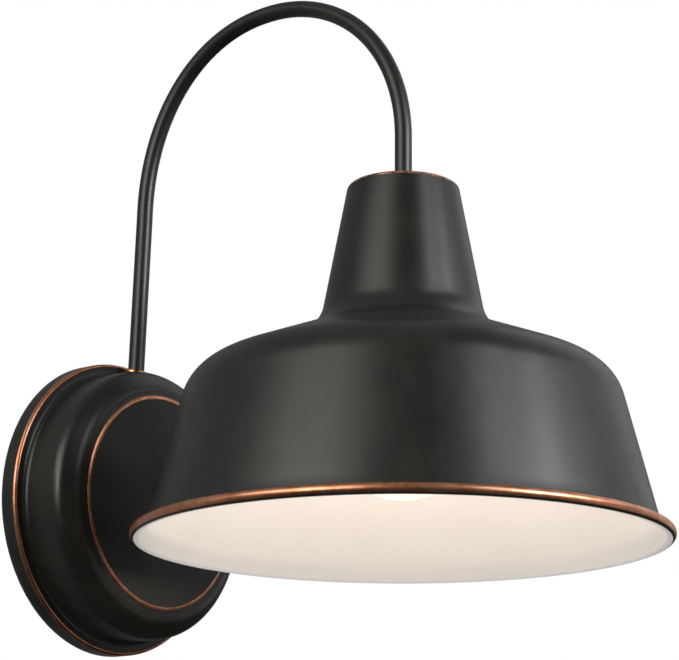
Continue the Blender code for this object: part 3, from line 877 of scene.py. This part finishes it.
def make_bulb():
    at = (0, SHADE_Y, 0)
    radius = size("bulb_glass")[0] / 2
    top, tip = span("bulb_glass")
    pear = dense(rounded([
        (12.3, top), (12.3, top - 13, 16.0), (radius, tip + 38.5, 18.0), (radius, tip, radius), (0, tip),
    ], 24), 3)
    wall = 1.0
    inside = inset(pear, wall)
    inside[0] = (0, tip + wall, 0)
    glass = turned("bulb_envelope", pear + inside, at=at, sides=SOCKET_ROUND, ring=True, crease=60)
    piece(glass, FROSTED, "frosted_glass", "bulb_glass", body="bulb")
    light_bulb(glass, tip + radius)

    top, bottom = span("bulb_base")
    outer = [(5.3, top, 0), (9.5, top - 1.6, 0), (13.05, top - 4.2, 0), (13.05, bottom, 0)]
    base = dense(outer, 0.4) + dense(inset(outer, 0.45), 0.4)
    thread = screw_thread(bottom + 2.5, top - 3.4, BASE_PITCH, 0.75, inner=12.0)
    cap = turned("bulb_screw_cap", base, at=at, sides=SOCKET_ROUND, shape=thread, ring=True)
    piece(cap, NICKEL, "bulb_base_metal", "bulb_base", body="bulb")

    top, bottom = span("bulb_insulator")
    puck = rounded([(0, top), (4.8, top, 0.5), (4.8, bottom), (0, bottom)], 4)
    insulator = turned("base_insulator", puck, at=at)
    piece(insulator, BLACK_GLASS, "black_glass", "bulb_insulator", body="bulb")

    top, bottom = span("bulb_contact")
    button = rounded([(0, top), (4.4, top - 0.1, 1.1), (4.4, bottom), (0, bottom)], 6)
    contact = turned("base_contact", button, at=at)
    piece(contact, BRASS, "brass_contact", "bulb_contact", body="bulb_tip")

    top, bottom = span("bulb_stem")
    mount = rounded([(0, top), (10.6, top, 0.4), (3.2, top - 9, 7.0), (2.4, bottom, 1.0), (0, bottom)], 8)
    stem = turned("glass_mount", dense(mount, 2), at=at)
    piece(stem, CLEAR_GLASS, "clear_glass", "bulb_stem", body="bulb")

    y = SHADE_Y
    support = smooth_route([(-2.0, y, 33.5), (-6.0, y, 28.0), (-13.0, y, 22.0), (-7.0, y - 1.5, 20.5)], 8)
    coil = []
    for x in np.linspace(-7, 7, 150):
        sag, twist = 1.5 * math.cos(math.pi * (x + 7) / 14), x * 4.2
        coil.append((x, y - sag + 0.9 * math.sin(twist), 20.7 + 0.9 * math.cos(twist)))
    other = [(-x, 2 * y - v, z) for x, v, z in support[::-1]]
    wire = tube("lamp_filament", [*support[:-1], *coil, *other[1:]], 0.3, sides=8)
    piece(wire, TUNGSTEN, "tungsten", "bulb_filament", body="bulb")


# ---------------------------------------------------------------- stage, light and camera


def make_stage():
    """A pale floor far below, which reflections don't show, and a light of its own over it."""
    middle_z = FLOOR_TOP - FLOOR_THICKNESS / 2
    floor = block("studio_floor", (0, 0, middle_z), (FLOOR_WIDTH, FLOOR_WIDTH, FLOOR_THICKNESS))
    look = Look("pale_floor", (0.82, 0.82, 0.81), 0.6)
    tone = look.spread(look.noise(3, 3), 0.3, 0.7)
    look.feed("Base Color", look.blend(tone, (0.80, 0.80, 0.79), (0.84, 0.84, 0.83)))
    floor.data.materials.append(look.grain(look.noise(200, 3), 0.05, 0.2).material)
    floor.visible_glossy = False
    wash = bpy.data.lights.new("floor_wash", "AREA")
    wash.size = WASH_SIZE
    wash.energy = math.pi * WASH_SIZE**2 * FLOOR_LIGHT
    lamp = linked("floor_wash", wash)
    lamp.location = Vector((0, 0, WASH_HEIGHT)) * MM
    lamp.visible_camera = False


def make_world():
    """White where the camera looks past the lantern; in its reflections, a grey glow from behind and above."""
    world = bpy.data.worlds.new("studio")
    bpy.context.scene.world = world
    world.use_nodes = True
    tree = world.node_tree
    seen, room = tree.nodes["Background"], tree.nodes.new("ShaderNodeBackground")
    seen.inputs["Color"].default_value = (1, 1, 1, 1)
    seen.inputs["Strength"].default_value = 1.0
    room.inputs["Color"].default_value = (0.97, 0.98, 1.0, 1)
    direction, facing = tree.nodes.new("ShaderNodeTexCoord"), tree.nodes.new("ShaderNodeVectorMath")
    facing.operation = "DOT_PRODUCT"
    facing.inputs[1].default_value = (0, 0.8, 0.6)
    fade = tree.nodes.new("ShaderNodeMapRange")
    for socket, value in (("From Min", 0.0), ("From Max", 0.5), ("To Min", 0.0), ("To Max", ROOM_LIGHT)):
        fade.inputs[socket].default_value = value
    path, mix = tree.nodes.new("ShaderNodeLightPath"), tree.nodes.new("ShaderNodeMixShader")
    for source, target in (
        (direction.outputs["Generated"], facing.inputs[0]),
        (facing.outputs["Value"], fade.inputs["Value"]),
        (fade.outputs["Result"], room.inputs["Strength"]),
        (path.outputs["Is Camera Ray"], mix.inputs[0]),
        (room.outputs[0], mix.inputs[1]),
        (seen.outputs[0], mix.inputs[2]),
        (mix.outputs[0], tree.nodes["World Output"].inputs["Surface"]),
    ):
        tree.links.new(source, target)


def towards(azimuth, elevation):
    """A direction. Azimuth 0 is straight out from the wall, 90 to the right."""
    a, e = math.radians(azimuth), math.radians(elevation)
    return Vector((math.sin(a) * math.cos(e), -math.cos(a) * math.cos(e), math.sin(e)))


def softbox(name, azimuth, elevation, width, height, radiance, colour):
    """A soft light of so many metres, aimed at the lantern's middle."""
    target = Vector(LIGHT_TARGET) * MM
    away = towards(azimuth, elevation)
    light = bpy.data.lights.new(name, "AREA")
    light.shape = "RECTANGLE"
    light.size, light.size_y = width, height
    light.energy, light.color = math.pi * width * height * radiance, colour
    lamp = linked(name, light)
    lamp.location = target + away * LIGHT_DISTANCE
    lamp.rotation_euler = away.to_track_quat("Z", "Y").to_euler()
    lamp.visible_camera = False


def make_camera():
    """A long lens below the shade and to its left, looking 16 degrees up, a little off centre."""
    data = bpy.data.cameras.new("camera")
    data.sensor_width = 36
    data.lens = 110.64
    data.shift_x, data.shift_y = -0.0995, -0.0383
    camera = linked("camera", data)
    azimuth, elevation, distance = -54.53, -16.01, 0.85549
    target = Vector((0.0404, -0.12481, 0.07834))
    back = towards(azimuth, elevation)
    camera.location = target + back * distance
    camera.rotation_euler = back.to_track_quat("Z", "Y").to_euler()
    bpy.context.scene.camera = camera
    bpy.context.scene.view_settings.view_transform = "Standard"


SOFTBOXES = (
    # name, azimuth, elevation, width, height, radiance, colour
    ("key_right", 4, 14, 0.294, 0.294, 37.6, COOL),
    ("key_right_upper", 16, 20, 0.294, 0.595, 10.1, COOL),
    ("key_right_top", -8, 32, 0.294, 0.595, 4.8, COOL),
    ("far_right", 40, 26, 0.294, 0.294, 1.9, NEUTRAL),
    ("key_left", -97, 26, 1.075, 0.369, 4.5, WARM),
    ("key_left_upper", -90, 41, 0.646, 0.369, 1.2, WARM),
    ("key_left_low", -88, 9, 0.5, 0.369, 8.0, WARM),
    ("side_fill", 75, 23, 1.02, 2.03, 0.58, NEUTRAL),
    ("low_fill", 30, -20, 1.02, 0.49, 0.5, NEUTRAL),
)

make_camera()
make_canopy()
make_strap()
make_canopy_fasteners()
make_arm()
make_shade()
make_socket()
make_wiring()
make_bulb()
make_stage()
make_world()
for light in SOFTBOXES:
    softbox(*light)
